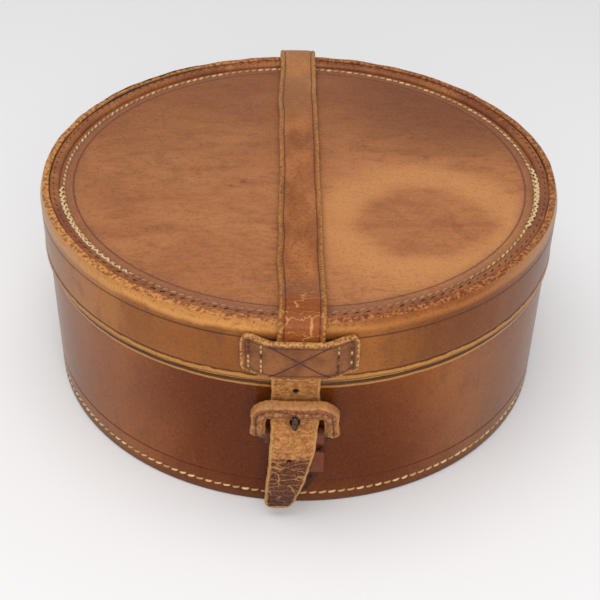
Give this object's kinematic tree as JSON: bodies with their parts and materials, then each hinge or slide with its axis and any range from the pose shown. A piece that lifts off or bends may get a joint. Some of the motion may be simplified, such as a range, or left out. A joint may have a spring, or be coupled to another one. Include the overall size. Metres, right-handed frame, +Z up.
{
  "type": "collar box",
  "caption": "Round leather box with a fitted lid hinged on its strap, which passes through loops on the lid to a covered buckle on the front.",
  "frame": {"origin": "centre of the underside, on the surface that the box stands on", "axes": "+Z up through the lid, -Y towards the buckle at the front, +X to the right seen from the front"},
  "size_m": [0.199, 0.2148, 0.0859],
  "materials": {
    "wall_leather": "glossy dark brown saddle leather",
    "top_leather": "worn tan-brown saddle leather",
    "floor_leather": "plain brown leather",
    "strap_leather": "cracked brown strap leather",
    "loop_leather": "brown leather with raw golden edges",
    "chape_leather": "dark red-brown leather",
    "welt_leather": "red-brown welt leather",
    "board": "grey-brown pulp board",
    "lining": "thin lining cloth",
    "cream_thread": "waxed cream thread",
    "dark_thread": "dark red-brown thread",
    "steel": "dark browned steel"
  },
  "bodies": {
    "base": {"base_floor_leather": "floor_leather", "base_floor_board": "board", "base_floor_lining": "lining", "base_wall_leather": "wall_leather", "base_wall_board": "board", "base_wall_lining": "lining", "neck_ring": "board", "base_foot_stitching": "cream_thread", "chape_strap": "chape_leather", "chape_stitching": "cream_thread", "keeper_loop": "chape_leather", "strap_rear": "strap_leather", "rear_anchor_stitching": "cream_thread"},
    "lid": {"lid_top_leather": "top_leather", "lid_top_board": "board", "lid_top_lining": "lining", "lid_wall_leather": "wall_leather", "lid_wall_board": "board", "lid_wall_lining": "lining", "rim_welt": "welt_leather", "rim_inner_stitching": "cream_thread", "rim_outer_stitching": "dark_thread", "front_loop": "loop_leather", "front_loop_stitching": "dark_thread", "rear_loop": "loop_leather", "rear_loop_stitching": "dark_thread", "strap_over_lid": "strap_leather"},
    "buckle": {"buckle_frame": "steel", "buckle_cover": "loop_leather"},
    "prong": {"buckle_prong": "steel"},
    "tail": {"strap_tail": "strap_leather"}
  },
  "joints": [
    {"name": "lid_hinge", "type": "hinge", "parent": "base", "child": "lid", "pos_m": [0, 0.10235, 0.05755], "axis": [-1, 0, 0], "range_deg": [0, 110]},
    {"name": "buckle_pivot", "type": "hinge", "parent": "base", "child": "buckle", "pos_m": [0, -0.10145, 0.036], "axis": [1, 0, 0], "range_deg": [0, 60]},
    {"name": "prong_pivot", "type": "hinge", "parent": "buckle", "child": "prong", "pos_m": [0, -0.10145, 0.036], "axis": [1, 0, 0], "range_deg": [0, 45]},
    {"name": "strap_tail_swing", "type": "hinge", "parent": "lid", "child": "tail", "pos_m": [0, -0.10095, 0.0632], "axis": [-1, 0, 0], "range_deg": [0, 80], "deforming": ["strap_tail"]}
  ]
}
